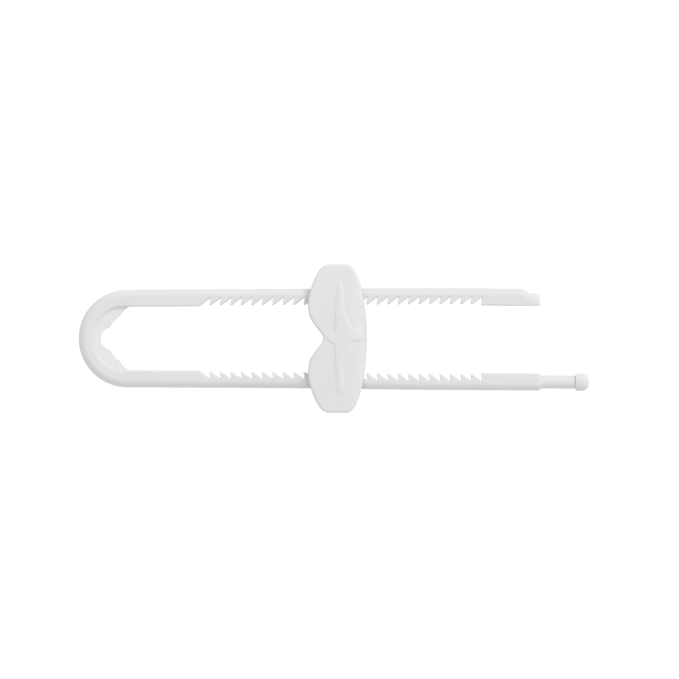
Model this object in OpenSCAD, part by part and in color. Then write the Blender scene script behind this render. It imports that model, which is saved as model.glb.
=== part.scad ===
// Cabinet safety lock: a toothed U-bar that goes round two handles, and a
// slider that ratchets along its arms and is let go by squeezing two buttons.
// It lies on the slider's back. +X points to the free ends, +Z to the front.

/* [Arms] */
// Width of an arm and of the bend, seen from the front
arm_w = 5.8; // [5.2:0.1:6.6]
// Thickness of the arms and the bend, front to back
arm_t = 6; // [5:0.1:7]
// Rounding of the long outer edges
arm_outer_round = 2; // [1:0.1:2.4]
// Rounding of the long inner edges
arm_inner_round = 0.5; // [0.2:0.1:0.8]
// Outer radius of the bend
bend_r = 16.7; // [16:0.1:19]
// Angle by which each arm spreads outwards, in degrees
arm_splay = 0.3; // [0:0.05:0.4]

/* [Teeth] */
// From the bend's centre to the first steep face
first_tooth = 28.2; // [25:0.1:35]
// Distance from one steep face to the next
tooth_pitch = 3.59; // [3.3:0.01:4]
// Whole teeth on each arm
tooth_count = 26; // [25:1:32]
// Depth of the teeth
tooth_depth = 2.7; // [1.8:0.05:2.8]
// How far the tips sit back from the arm's plain inner side
tooth_set = 0.3; // [0:0.05:0.4]
// Flat on the tip of a tooth
tooth_tip = 0.45; // [0.3:0.05:0.8]
// Length of the slope that leads into the first valley
tooth_lead = 3.5; // [2:0.1:5]
// Lean of the steep faces, in degrees
tooth_hook = 9; // [0:1:12]

/* [Free ends] */
// Plain stretch at the end of the upper, shorter arm
upper_end = 20.15; // [15:0.05:30]
// Plain stretch of the lower, longer arm before its pin
lower_end = 19.55; // [15:0.05:30]
// Taper from the lower arm to its pin
pin_taper = 1.2; // [0.6:0.1:2]
// Length of the round pin
pin_l = 11.6; // [8:0.1:16]
// Diameter of the round pin
pin_d = 4.5; // [3.5:0.1:5]
// Length of the stop knob
knob_l = 4.5; // [3:0.1:6]
// Diameter of the stop knob
knob_d = 6; // [5.2:0.1:7]
// Length of the knob's domed end
knob_dome = 1.9; // [1:0.1:2.4]
// Length of the upper arm's tapered nose
nose_l = 6.7; // [5:0.1:9]
// How far the nose's outer side comes in
nose_drop = 1.7; // [1.2:0.1:2.2]
// Height of the small step along the nose
nose_step = 0.35; // [0.2:0.05:0.6]
// Rounding of the nose's outer corner
nose_round = 1.5; // [1:0.1:2]

/* [Web in the bend] */
// How far the web lies in front of the bend's back
web_back = 1.2; // [0.6:0.1:2]
// Distance from the bend's centre at which the web's front starts to fall
web_start = 13.3; // [12:0.1:14]
// Fall of the web's front towards the arms, in degrees
web_fall = 6; // [5:0.5:13]
// Depth of the middle scallop, in which a handle's stem rests
stem_scallop = 3.2; // [2.5:0.1:3.6]
// Depth of the shallow scallops beside it
side_scallop = 0.4; // [0.2:0.05:0.8]

/* [Slider] */
// Length of the slider, from end to end across the arms
head_l = 50.9; // [50:0.1:56]
// Reach of the two wings towards the bend
wing_reach = 10.3; // [10:0.1:12]
// Reach of the bulged side towards the free ends
back_reach = 9.9; // [9.5:0.1:12]
// Thickness of the housing's floor
floor_t = 1.6; // [1.2:0.1:2.5]
// Thickness of the front cover along its edge
cover_edge_t = 1.9; // [1.5:0.1:2.6]
// Wall of the front cover over its hollow
cover_wall = 2.2; // [1.8:0.1:2.6]
// Flat rim on which the cover meets the housing
cover_rim = 1.4; // [1:0.1:2]
// Rise of the dome above the edge
dome_rise = 0.9; // [0.5:0.1:3]
// Rounding of the cover's top edge
edge_round = 0.9; // [0.5:0.1:1.4]
// Height of the raised star
star_h = 0.35; // [0.3:0.05:1]
// Length of the star's two long points
star_long = 18.1; // [14:0.1:20]
// Length of the star's point towards the notch
star_left = 4.6; // [3.5:0.1:5]
// Length of the star's point towards the free ends
star_right = 7.2; // [6:0.1:8]
// Half the width of the long points at their ends
star_tip_w = 0.7; // [0.5:0.05:1.5]
// Width at the star's middle, from its spine towards the notch
star_mid_left = 1.2; // [0.8:0.1:2.2]
// Width at the star's middle, from its spine towards the free ends
star_mid_right = 3.4; // [2:0.1:4.2]
// Length over which the long points widen to the middle
star_flare = 9.5; // [6:0.5:12]
// Half the width of the short points
star_cross_w = 0.7; // [0.5:0.05:1]
// Width of the star's sloping sides
star_flank = 0.7; // [0.3:0.05:0.8]
// Diameter of the pegs that fasten the cover between the arms
peg_d = 2; // [1.4:0.1:2]
// Diameter of the pegs that fasten the cover at its ends
end_peg_d = 1.4; // [1:0.1:1.5]
// Length of the pegs below the cover
peg_l = 4.5; // [3:0.1:6]

/* [Release buttons] */
// Width of the pad that the finger presses
pad_w = 8.4; // [7:0.1:8.8]
// Rounding of the pad's outer corners
pad_round = 0.8; // [0.3:0.1:1.5]
// How far the pad lies behind the end of the slider
pad_recess = 0.5; // [0.4:0.05:1]
// Travel of a button
press_travel = 2.4; // [2.2:0.1:2.6]
// Thickness of the strip that passes behind the arm
bridge_t = 1.4; // [1:0.1:2]
// Width of that strip
bridge_w = 6; // [4.5:0.1:6.4]
// Width of the pawl, which carries two teeth
pawl_w = 7; // [6.8:0.1:7.2]
// Thickness of the pawl's ears, in the direction of travel
ear_t = 2.6; // [1.8:0.1:2.8]
// Reach of each ear past the pawl
ear_reach = 1.2; // [0.8:0.1:1.3]
// Wall between an arm and the ears, on which the ears stop
ear_wall = 1; // [0.8:0.1:1.3]

/* [Springs] */
// Outer diameter of a spring
spring_d = 3.8; // [3.2:0.1:4.4]
// Diameter of the spring's wire
wire_d = 0.45; // [0.3:0.05:0.5]
// Turns of a spring
spring_turns = 5; // [4:1:6]
// Length of the studs on which a spring sits
stud_l = 1; // [0.6:0.1:1.2]

/* [Fits] */
// Gap in front of and behind an arm inside the slider
arm_gap = 0.35; // [0.2:0.05:0.6]
// Gap beside an arm, over the whole travel
side_gap = 0.25; // [0.15:0.05:0.4]
// Gap round the moving parts of a button
button_gap = 0.2; // [0.15:0.05:0.35]
// Gap between the steep faces of the pawl and of the arm
bite_gap = 0.15; // [0.1:0.05:0.25]
// Gap between the pawl's tips and the bottom of the valleys
valley_gap = 0.2; // [0.1:0.05:0.3]
// Radial gap round the cover's pegs
peg_gap = 0.05; // [0.03:0.01:0.1]
// How far the housing's outline lies inside the cover's
parting_step = 0.3; // [0.2:0.05:0.5]

/* [Hidden] */
$fn = 48;
plastic = [0.89, 0.885, 0.885];
steel = [0.72, 0.73, 0.75];

// Overrun of cuts past a face
over = 1;

// Levels, from the surface that the slider lies on
tunnel_z = floor_t + button_gap + bridge_t;
arm_z = tunnel_z + arm_gap;
seat_z = arm_z + arm_t + arm_gap;
arm_mid_z = arm_z + arm_t / 2;

// Places along X, first from the bend's centre and then in the part's frame
teeth_end = first_tooth + tooth_count * tooth_pitch;
upper_tip = teeth_end + upper_end;
lower_body = teeth_end + lower_end;
pin_start = lower_body + pin_taper;
knob_start = pin_start + pin_l;
lower_tip = knob_start + knob_l;
bend_x = -(lower_tip * cos(arm_splay) - (bend_r - arm_w / 2) * sin(arm_splay) - bend_r) / 2;
bend_mid_r = bend_r - arm_w / 2;
hook = tooth_depth * tan(tooth_hook);

// The slider rests with the last pawl tooth behind the arm's middle steep face
held_tooth = floor(tooth_count / 2);
pawl_share = -0.104;
pawl_c = pawl_share * wing_reach;
function face_x(n) = bend_x + (first_tooth + n * tooth_pitch) * cos(arm_splay)
    - (bend_mid_r - arm_w / 2) * sin(arm_splay);
slider_x = face_x(held_tooth) - bite_gap - pawl_c - pawl_w / 2;

// Sideways places of the arm where the slider rests, and its drift over the travel
travel = (held_tooth - 1) * tooth_pitch;
drift = tan(arm_splay) * (travel + wing_reach);
arm_y = bend_mid_r / cos(arm_splay) + tan(arm_splay) * (slider_x - bend_x);
arm_in = arm_y - arm_w / 2;
arm_out = arm_y + arm_w / 2;
tunnel_in = arm_in - side_gap - drift;
tunnel_out = arm_out + side_gap + drift;

// Sideways places of a button and its spring, at rest
bite = tooth_depth - valley_gap - drift;
ear_out = tunnel_in - ear_wall - button_gap;
ear_in = ear_out - ear_t;
pad_out = head_l / 2 - pad_recess;
pad_in = arm_out + drift + side_gap + press_travel + button_gap;
rib_share = 0.38;
rib_t = rib_share * ear_t;
chamber_in = ear_in - press_travel - button_gap;
spring_l = ear_in - rib_t;
spring_z = (floor_t + seat_z) / 2;
spring_bore = spring_d / 2 - wire_d;
stud_r = spring_bore - button_gap;
button_top = seat_z - button_gap;
pocket_r = spring_d / 2 + button_gap;

// Half outlines of the slider from the notch's line to the end, as shares of the half length
// and of the reach to that side
left_shares = [[0, 0.49], [0.054, 0.532], [0.108, 0.633], [0.162, 0.733], [0.216, 0.83],
               [0.27, 0.915], [0.35, 0.968], [0.46, 1], [0.57, 0.975], [0.674, 0.9],
               [0.755, 0.833], [0.809, 0.775], [0.863, 0.71], [0.916, 0.633], [0.955, 0.55],
               [0.985, 0.44], [1, 0.34]];
right_shares = [[0, 1], [0.216, 0.985], [0.35, 0.955], [0.54, 0.89], [0.674, 0.816],
                [0.755, 0.764], [0.809, 0.712], [0.863, 0.66], [0.916, 0.585], [0.955, 0.51],
                [0.985, 0.42], [1, 0.32]];

function clamp01(t) = max(0, min(1, t));
function smooth(t) = let (c = clamp01(t)) c * c * (3 - 2 * c);
function lerp(a, b, t) = a + (b - a) * t;

// Smooth curve through the points of a table, by its first column
function place(tab, t, i = 0) = i >= len(tab) - 2 || t <= tab[i + 1][0] ? i : place(tab, t, i + 1);
function slope(tab, i) =
    i == 0 || i == len(tab) - 1 ? 0
    : (tab[i + 1][1] - tab[i - 1][1]) / (tab[i + 1][0] - tab[i - 1][0]);
function end_slope(tab, i) =
    i == len(tab) - 1 ? (tab[i][1] - tab[i - 1][1]) / (tab[i][0] - tab[i - 1][0]) : slope(tab, i);
function curve_at(tab, t) =
    let (i = place(tab, t), w = tab[i + 1][0] - tab[i][0], u = clamp01((t - tab[i][0]) / w))
    (2 * u ^ 3 - 3 * u ^ 2 + 1) * tab[i][1] + (u ^ 3 - 2 * u ^ 2 + u) * w * end_slope(tab, i)
    + (3 * u ^ 2 - 2 * u ^ 3) * tab[i + 1][1] + (u ^ 3 - u ^ 2) * w * end_slope(tab, i + 1);

// Edges of the slider across it, at a distance y from its middle
half_l = head_l / 2;
function left_x(y) = -wing_reach * curve_at(left_shares, abs(y) / half_l);
function right_x(y) = back_reach * curve_at(right_shares, abs(y) / half_l);

// The slope of an edge as a factor on distances measured along X
probe = half_l / 200;
function edge_factor(a, b) = 1 / sqrt(1 + ((a - b) / probe) ^ 2);
function left_factor(y) =
    let (v = min(abs(y), half_l - probe)) edge_factor(left_x(v + probe), left_x(v));
function right_factor(y) =
    let (v = min(abs(y), half_l - probe)) edge_factor(right_x(v + probe), right_x(v));

// Outline of the slider, moved in by an inset; on its steep ends an inset along X is held to
// what it is at the steepest share
outline_steps = 48;
steepest_share = 0.55;
function outline_y(k) = half_l * sin(90 * k / outline_steps);
function outline(inset) =
    let (shrink = (half_l - inset) / half_l)
    concat(
        [for (k = [-outline_steps : outline_steps])
            let (y = outline_y(k))
            [right_x(y) - inset / max(steepest_share, right_factor(y)), y * shrink]],
        [for (k = [outline_steps : -1 : -outline_steps])
            let (y = outline_y(k))
            [left_x(y) + inset / max(steepest_share, left_factor(y)), y * shrink]]);

// Places of the pegs: two between the arms on each half, and two at its end
peg_inner_left = (pawl_c - pawl_w / 2 - ear_reach - wing_reach) / 2;
peg_inner_right = (pawl_c + pawl_w / 2 + ear_reach + back_reach) / 2;
peg_inner_y = tunnel_in - ear_wall - peg_d;
peg_end_y = tunnel_out + end_peg_d + peg_gap;
peg_end_left = (left_x(peg_end_y) - pad_w / 2) / 2;
peg_end_right = (right_x(peg_end_y) + pad_w / 2) / 2;
function peg_list() = [
    [peg_inner_left, peg_inner_y, peg_d], [peg_inner_right, peg_inner_y, peg_d],
    [peg_end_left, peg_end_y, end_peg_d], [peg_end_right, peg_end_y, end_peg_d]];

// Cross section of an arm: its outer side to +X, its middle at the origin
module arm_section() {
    side = arm_t / 2;
    out_r = arm_outer_round;
    in_r = arm_inner_round;
    for (s = [-1, 1]) {
        translate([arm_w / 2 - out_r, s * (side - out_r)]) circle(out_r);
        translate([in_r - arm_w / 2, s * (side - in_r)]) circle(in_r);
    }
    translate([in_r - arm_w / 2, -side]) square([arm_w - out_r - in_r, arm_t]);
    translate([-arm_w / 2, in_r - side]) square([in_r, arm_t - 2 * in_r]);
    translate([arm_w / 2 - out_r, out_r - side]) square([out_r, arm_t - 2 * out_r]);
}

// A plain bar from x0 to x1 beside the bend's centre line, before it is spread
module bar(x0, x1) {
    translate([x0, bend_mid_r, arm_mid_z]) rotate([90, 0, 90]) linear_extrude(x1 - x0) arm_section();
}

// What is cut off the arm between its teeth, seen from the front: every valley ends at a steep
// face, and the tips between two valleys sit back a little from the plain sides
module valleys() {
    edge = bend_mid_r - arm_w / 2;
    tips = edge + tooth_set;
    last_face = first_tooth + tooth_count * tooth_pitch;
    line = [for (n = [0 : tooth_count])
        let (face = first_tooth + n * tooth_pitch,
             start = n == 0 ? face - tooth_lead : face - tooth_pitch + tooth_tip)
        for (p = [[start, n == 0 ? edge : tips], [face + hook, tips + tooth_depth],
                  [face, n == tooth_count ? edge : tips]]) p];
    polygon(concat([[first_tooth - tooth_lead, edge - over]], line, [[last_face, edge - over]]));
}

// One arm up to the end of its plain stretch
module toothed_arm(end) {
    difference() {
        bar(0, end);
        translate([0, 0, arm_z - over]) linear_extrude(arm_t + 2 * over) valleys();
    }
}

// What is cut off the upper arm to leave its stepped, tapered nose: the step lies a share of
// the nose's length from its tip
nose_turns = 8;
step_share = 2 / 3;
module nose_cut() {
    top = bend_mid_r + arm_w / 2;
    bottom = bend_mid_r - arm_w / 2;
    step_x = upper_tip - step_share * nose_l;
    drop = nose_drop / 2;
    chamfer = nose_step;
    corner = [upper_tip - nose_round, top - nose_drop - nose_round];
    translate([0, 0, arm_z - over]) linear_extrude(arm_t + 2 * over)
        polygon(concat(
            [[upper_tip - nose_l, top], [step_x, top - drop], [step_x, top - drop - nose_step]],
            [for (k = [0 : nose_turns]) let (a = 90 - 90 * k / nose_turns)
                corner + nose_round * [cos(a), sin(a)]],
            [[upper_tip, bottom + chamfer], [upper_tip - chamfer, bottom],
             [upper_tip - chamfer, bottom - over], [upper_tip + over, bottom - over],
             [upper_tip + over, top + over], [upper_tip - nose_l, top + over]]));
    translate([upper_tip - nose_l, top, arm_z + arm_t]) rotate([0, 0, 45])
        rotate([0, atan(nose_step / drop) / 2, 0]) translate([0, -bend_r, 0])
            cube([2 * nose_l, 2 * bend_r, arm_t]);
}

// Round pin and stop knob on the end of the lower arm; the dome is a cap of a ball whose
// middle lies a share of the dome's length before it
knob_dome_share = 0.54;
module pin_and_knob() {
    translate([lower_body, bend_mid_r, arm_mid_z]) rotate([0, 90, 0]) {
        cylinder(h = pin_taper, r1 = arm_w / 2, r2 = pin_d / 2);
        cylinder(h = knob_start - lower_body + over, d = pin_d);
    }
    translate([knob_start, bend_mid_r, arm_mid_z]) rotate([0, 90, 0]) {
        cylinder(h = knob_l - knob_dome, d = knob_d);
        translate([0, 0, knob_l - knob_dome]) rotate_extrude() intersection() {
            square([knob_d / 2, knob_dome]);
            translate([0, -knob_dome_share * knob_dome])
                circle(norm([knob_d / 2, knob_dome_share * knob_dome]));
        }
    }
}

// A disc through two points of the web's contour, bulging into the web by its depth
module scallop(a, b, depth) {
    chord = norm(b - a);
    r = (chord ^ 2 / 4 + depth ^ 2) / (2 * depth);
    out = [a[1] - b[1], b[0] - a[0]] / chord;
    translate((a + b) / 2 - out * (r - depth)) circle(r);
}

// Web in the bend, with the wavy contour that a handle's stem rests in. Its cusps are shares
// of the bend's inner radius.
cusp_shares = [[-0.56, 0.345], [-0.24, 0.71], [0.06, 1]];
module web() {
    inner_r = bend_r - arm_w;
    cusp_1 = inner_r * cusp_shares[0];
    cusp_2 = inner_r * cusp_shares[1];
    cusp_3 = inner_r * cusp_shares[2];
    difference() {
        translate([0, 0, arm_z + web_back]) linear_extrude(arm_t - web_back) difference() {
            intersection() {
                circle(inner_r + arm_w / 2);
                translate([-bend_r, -inner_r]) square([bend_r + cusp_3[0], 2 * inner_r]);
            }
            polygon([cusp_1, cusp_2, cusp_3, [bend_r, inner_r], [bend_r, -inner_r],
                     [cusp_3[0], -cusp_3[1]], [cusp_2[0], -cusp_2[1]], [cusp_1[0], -cusp_1[1]]]);
            scallop([cusp_1[0], -cusp_1[1]], cusp_1, stem_scallop);
            for (s = [0, 1]) mirror([0, s]) {
                scallop(cusp_1, cusp_2, side_scallop);
                scallop(cusp_2, cusp_3, side_scallop);
            }
        }
        translate([-web_start, -bend_r, arm_z + arm_t]) rotate([0, web_fall, 0])
            cube([2 * bend_r, 2 * bend_r, arm_t]);
    }
}

// The U-bar, one moulding
module u_bar() {
    color(plastic) translate([bend_x, 0, 0]) {
        rotate([0, 0, 90 + arm_splay]) translate([0, 0, arm_mid_z])
            rotate_extrude(angle = 180 - 2 * arm_splay) translate([bend_mid_r, 0]) arm_section();
        web();
        rotate([0, 0, arm_splay]) difference() {
            toothed_arm(upper_tip);
            nose_cut();
        }
        mirror([0, 1, 0]) rotate([0, 0, arm_splay]) {
            toothed_arm(lower_body);
            pin_and_knob();
        }
    }
}

// Room for an arm, open at both sides and in front
module tunnel() {
    translate([-2 * wing_reach, tunnel_in, tunnel_z])
        cube([4 * wing_reach, tunnel_out - tunnel_in, seat_z]);
}

// Room for a button and its spring
module button_room() {
    ear_w = pawl_w + 2 * ear_reach + 2 * button_gap;
    neck_w = pawl_w + 2 * button_gap;
    strip_w = bridge_w + 2 * button_gap;
    translate([pawl_c - ear_w / 2, chamber_in, floor_t])
        cube([ear_w, tunnel_in - ear_wall - chamber_in, seat_z]);
    translate([pawl_c - neck_w / 2, chamber_in, floor_t])
        cube([neck_w, tunnel_in + over - chamber_in, seat_z]);
    translate([pawl_c - strip_w / 2, chamber_in, floor_t])
        cube([strip_w, pad_out - chamber_in, seat_z]);
    translate([-pad_w / 2 - button_gap, pad_in - press_travel - button_gap, floor_t])
        cube([pad_w + 2 * button_gap, half_l, seat_z]);
    translate([pawl_c, rib_t, spring_z]) rotate([-90, 0, 0])
        cylinder(h = chamber_in + over - rib_t, r = pocket_r);
    translate([pawl_c - pocket_r, rib_t, spring_z])
        cube([2 * pocket_r, chamber_in + over - rib_t, seat_z]);
}

// Back half of the slider, with the guides for the arms and the buttons
module back_housing() {
    color(plastic) translate([slider_x, 0, 0]) {
        difference() {
            linear_extrude(seat_z) polygon(outline(parting_step));
            for (s = [0, 1]) mirror([0, s, 0]) {
                tunnel();
                button_room();
                for (p = peg_list()) translate([p[0], p[1], seat_z - peg_l - button_gap])
                    cylinder(h = seat_z, d = p[2] + 2 * peg_gap);
            }
        }
        for (s = [0, 1]) mirror([0, s, 0]) translate([pawl_c, 0, spring_z]) rotate([-90, 0, 0])
            cylinder(h = rib_t + stud_l, r = stud_r);
    }
}

// How far inside the slider's edge a point lies
function inside(x, y) = min((x - left_x(y)) * left_factor(y), (right_x(y) - x) * right_factor(y),
                            half_l - abs(y));

// Raised star: long points along Y that widen to its middle, and short ones along X
star_share = 0.063;
star_x = star_share * back_reach;
function star_w(y, mid) = lerp(star_tip_w, mid, clamp01(1 - abs(y) / star_flare));
function star_in(x, y) =
    let (left = x < star_x, dx = abs(x - star_x), w = star_w(y, left ? star_mid_left : star_mid_right))
    max(min(w - dx, star_long - abs(y)),
        min(star_cross_w - abs(y), (left ? star_left : star_right) - dx));
function star(x, y) = star_h * smooth(1 + star_in(x, y) / star_flank);

// Front face of the cover: dome, rolled edge and the sloping side towards the free ends. The
// dome falls by a share of its rise from the middle line to the sides.
shoulder_share = 0.78;
fall_share = 0.5;
shoulder_x = shoulder_share * back_reach;
function dome(x, y) =
    let (mid = (left_x(y) + right_x(y)) / 2, u = (x - mid) / (right_x(y) - mid), t = y / half_l)
    dome_rise * (1 - t ^ 2) * (1 - fall_share * u ^ 2);
function rolled(d) =
    d >= edge_round ? 0 : edge_round - sqrt(edge_round ^ 2 - (edge_round - max(0, d)) ^ 2);
function shoulder(x) = edge_round * smooth((x - shoulder_x) / (back_reach - shoulder_x));
function skin_z(x, y) =
    seat_z + cover_edge_t + dome(x, y) - rolled(inside(x, y)) - shoulder(x);
function front_z(x, y) = skin_z(x, y) + star(x, y);
function under_z(x, y) =
    seat_z + max(0, skin_z(x, y) - cover_wall - seat_z)
    * smooth(inside(x, y) / cover_rim - 1);

// Lines of the cover's mesh: near its edges, beside the star and between them
edge_shares = [0, 0.12, 0.4, 1];
gap_shares = [1 / 3, 2 / 3];
star_room_share = 0.7;
function between(a, b) = [for (t = gap_shares) lerp(a, b, t)];
function column_xs(y) =
    let (l = left_x(y), r = right_x(y),
         el = edge_round / max(steepest_share, left_factor(y)),
         er = edge_round / max(steepest_share, right_factor(y)),
         wl = min(star_w(y, star_mid_left), star_room_share * (star_x - l - el)),
         wr = min(star_w(y, star_mid_right), star_room_share * (r - er - star_x)),
         sl = max(star_x - wl - star_flank, lerp(star_x - wl, l + el, star_room_share)),
         sr = min(star_x + wr + star_flank, lerp(star_x + wr, r - er, star_room_share)))
    concat(
        [for (t = edge_shares) l + el * t], between(l + el, sl),
        [sl, (sl + star_x - wl) / 2, star_x - wl, star_x, star_x + wr, (sr + star_x + wr) / 2, sr],
        between(sr, r - er), [for (k = [3 : -1 : 0]) r - er * edge_shares[k]]);
star_rows = 13;
function half_rows() = concat(
    [star_cross_w, star_cross_w + star_flank / 2, star_cross_w + star_flank],
    [for (k = [1 : star_rows]) lerp(star_cross_w + star_flank, star_long, k / star_rows)],
    [star_long + star_flank / 2, star_long + star_flank],
    between(star_long + star_flank, half_l - edge_round),
    [for (k = [3 : -1 : 0]) half_l - edge_round * edge_shares[k]]);
rows = half_rows();
row_ys = concat([for (k = [len(rows) - 1 : -1 : 0]) -rows[k]], [0], rows);

// The cover's shell as one closed mesh: front grid, back grid and the edge between them
module cover_shell() {
    grid = [for (y = row_ys) [for (x = column_xs(y)) [x, y]]];
    m = len(row_ys);
    n = len(grid[0]);
    front = [for (row = grid) for (p = row) [p[0], p[1], front_z(p[0], p[1])]];
    back = [for (row = grid) for (p = row) [p[0], p[1], under_z(p[0], p[1])]];
    half = m * n;
    ring = concat(
        [for (i = [0 : n - 2]) i], [for (j = [0 : m - 2]) j * n + n - 1],
        [for (i = [n - 1 : -1 : 1]) (m - 1) * n + i], [for (j = [m - 1 : -1 : 1]) j * n]);
    faces = concat(
        [for (j = [0 : m - 2]) for (i = [0 : n - 2]) let (a = j * n + i)
            each [[a, a + n, a + n + 1], [a, a + n + 1, a + 1]]],
        [for (j = [0 : m - 2]) for (i = [0 : n - 2]) let (a = half + j * n + i)
            each [[a, a + n + 1, a + n], [a, a + 1, a + n + 1]]],
        [for (k = [0 : len(ring) - 1]) let (a = ring[k], b = ring[(k + 1) % len(ring)])
            each [[a, b, b + half], [a, b + half, a + half]]]);
    polyhedron(points = concat(front, back), faces = faces);
}

// Front half of the slider, the part that shows
module front_cover() {
    color(plastic) translate([slider_x, 0, 0]) {
        cover_shell();
        for (s = [0, 1]) mirror([0, s, 0]) for (p = peg_list())
            translate([p[0], p[1], seat_z - peg_l])
                cylinder(h = peg_l + under_z(p[0], p[1]) - seat_z + cover_wall / 2, d = p[2]);
    }
}

// A pawl tooth: the arm's valley, drawn back out of it and blunted, with an upright steep face
// that comes straight out past the arm's leaning one
pawl_flat_share = 2 / 3;
module pawl_tooth(n) {
    face = face_x(held_tooth - n) - slider_x - bite_gap;
    back = tooth_depth - bite;
    run = tooth_pitch - tooth_tip;
    flat = pawl_flat_share * tooth_tip;
    root = arm_in + tooth_set - back;
    tip_y = root + tooth_depth * (run - flat) / (run + hook);
    polygon([[face - run, arm_in - back - over], [face - run, root],
             [face - flat, tip_y], [face, tip_y], [face, arm_in - back - over]]);
}

// Release button of the upper side: pad, strip behind the arm, and pawl with its ears
module button() {
    pad_h = button_top - floor_t - button_gap;
    z0 = floor_t + button_gap;
    teeth_z = tunnel_z + button_gap;
    neck_out = arm_in - (tooth_depth - bite);
    translate([0, 0, z0]) {
        linear_extrude(pad_h) {
            translate([-pad_w / 2, pad_in]) square([pad_w, pad_out - pad_round - pad_in]);
            translate([pad_round - pad_w / 2, pad_in])
                square([pad_w - 2 * pad_round, pad_out - pad_in]);
            for (s = [-1, 1]) translate([s * (pad_w / 2 - pad_round), pad_out - pad_round])
                circle(pad_round);
        }
        translate([pawl_c - bridge_w / 2, ear_in, 0])
            cube([bridge_w, pad_out - pad_round - ear_in, bridge_t]);
        translate([pawl_c - pawl_w / 2 - ear_reach, ear_in, 0])
            cube([pawl_w + 2 * ear_reach, ear_t, pad_h]);
        translate([pawl_c - pawl_w / 2, ear_in, 0]) cube([pawl_w, neck_out - ear_in, pad_h]);
        translate([0, 0, teeth_z - z0]) linear_extrude(z0 + pad_h - teeth_z) intersection() {
            for (n = [0, 1]) pawl_tooth(n);
            translate([pawl_c - pawl_w / 2, ear_in]) square([pawl_w, arm_out]);
        }
    }
    translate([pawl_c, ear_in + over, spring_z]) rotate([90, 0, 0])
        cylinder(h = over + stud_l, r = stud_r);
}

module upper_button() {
    color(plastic) translate([slider_x, 0, 0]) button();
}

module lower_button() {
    color(plastic) translate([slider_x, 0, 0]) mirror([0, 1, 0]) button();
}

// A coil spring along +Y from the origin, its end turns closed up to a share of the wire
coil_steps = 16;
coil_sides = 6;
closed_share = 1.15;
function coil_y(t, l) =
    let (closed = closed_share * wire_d, open = (l - wire_d - 2 * closed) / (spring_turns - 2))
    wire_d / 2 + (t < 1 ? closed * t
        : t > spring_turns - 1 ? l - wire_d - closed * (spring_turns - t)
        : closed + open * (t - 1));
module coil(l) {
    r = (spring_d - wire_d) / 2;
    last = spring_turns * coil_steps;
    points = [for (k = [0 : last]) for (s = [0 : coil_sides - 1])
        let (a = 360 * k / coil_steps, b = 360 * s / coil_sides,
             q = r + wire_d / 2 * cos(b))
        [q * cos(a), coil_y(k / coil_steps, l) + wire_d / 2 * sin(b), q * sin(a)]];
    faces = concat(
        [for (k = [0 : last - 1]) for (s = [0 : coil_sides - 1])
            let (a = k * coil_sides + s, b = k * coil_sides + (s + 1) % coil_sides)
            each [[a, a + coil_sides, b + coil_sides], [a, b + coil_sides, b]]],
        [for (s = [1 : coil_sides - 2]) [0, s, s + 1]],
        [for (s = [1 : coil_sides - 2]) let (e = last * coil_sides) [e, e + s + 1, e + s]]);
    polyhedron(points = points, faces = faces);
}

module seated_coil() {
    translate([slider_x + pawl_c, rib_t, spring_z]) coil(spring_l);
}

module upper_spring() {
    color(steel) seated_coil();
}

module lower_spring() {
    color(steel) mirror([0, 1, 0]) seated_coil();
}

u_bar();
back_housing();
front_cover();
upper_button();
lower_button();
upper_spring();
lower_spring();
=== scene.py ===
"""Looks of a cabinet safety lock: a toothed U-bar and the slider that ratchets along it.

Pieces are modelled in millimetres round the CAD's own frame and brought to metres when done.
"""

import math

import bmesh
import bpy
from mathutils import Euler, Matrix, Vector


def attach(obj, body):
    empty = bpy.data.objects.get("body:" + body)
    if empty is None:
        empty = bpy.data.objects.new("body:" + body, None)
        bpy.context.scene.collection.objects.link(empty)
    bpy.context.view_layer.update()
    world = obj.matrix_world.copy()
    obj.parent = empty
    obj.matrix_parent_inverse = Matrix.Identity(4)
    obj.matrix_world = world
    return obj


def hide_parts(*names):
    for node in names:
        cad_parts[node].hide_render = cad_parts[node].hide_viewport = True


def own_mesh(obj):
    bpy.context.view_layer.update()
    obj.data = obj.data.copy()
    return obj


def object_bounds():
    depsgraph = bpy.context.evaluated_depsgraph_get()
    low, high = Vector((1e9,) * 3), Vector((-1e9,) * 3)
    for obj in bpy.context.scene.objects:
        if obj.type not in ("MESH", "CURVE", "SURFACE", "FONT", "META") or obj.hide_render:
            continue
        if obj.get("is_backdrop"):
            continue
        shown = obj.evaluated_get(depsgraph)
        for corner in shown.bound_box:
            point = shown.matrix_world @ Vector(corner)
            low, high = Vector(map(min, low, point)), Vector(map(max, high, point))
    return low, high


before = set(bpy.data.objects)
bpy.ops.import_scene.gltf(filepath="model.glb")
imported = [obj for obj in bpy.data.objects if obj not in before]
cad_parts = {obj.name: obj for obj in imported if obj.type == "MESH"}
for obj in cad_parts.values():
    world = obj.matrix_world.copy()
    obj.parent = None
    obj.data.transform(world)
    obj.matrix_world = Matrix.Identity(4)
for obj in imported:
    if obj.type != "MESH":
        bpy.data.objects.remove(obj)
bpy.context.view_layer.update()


# Camera and light
# A long lens looks straight down, as in a catalogue picture. A pale sky lights the part evenly
# and a wide lamp from the upper right gives the soft shading.
PICTURE_WIDTH = 0.23276
PICTURE_CENTRE = (0.00194, -0.00034)
PICTURE_LEVEL = 0.0085
LENS = 300
SENSOR = 36

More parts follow.
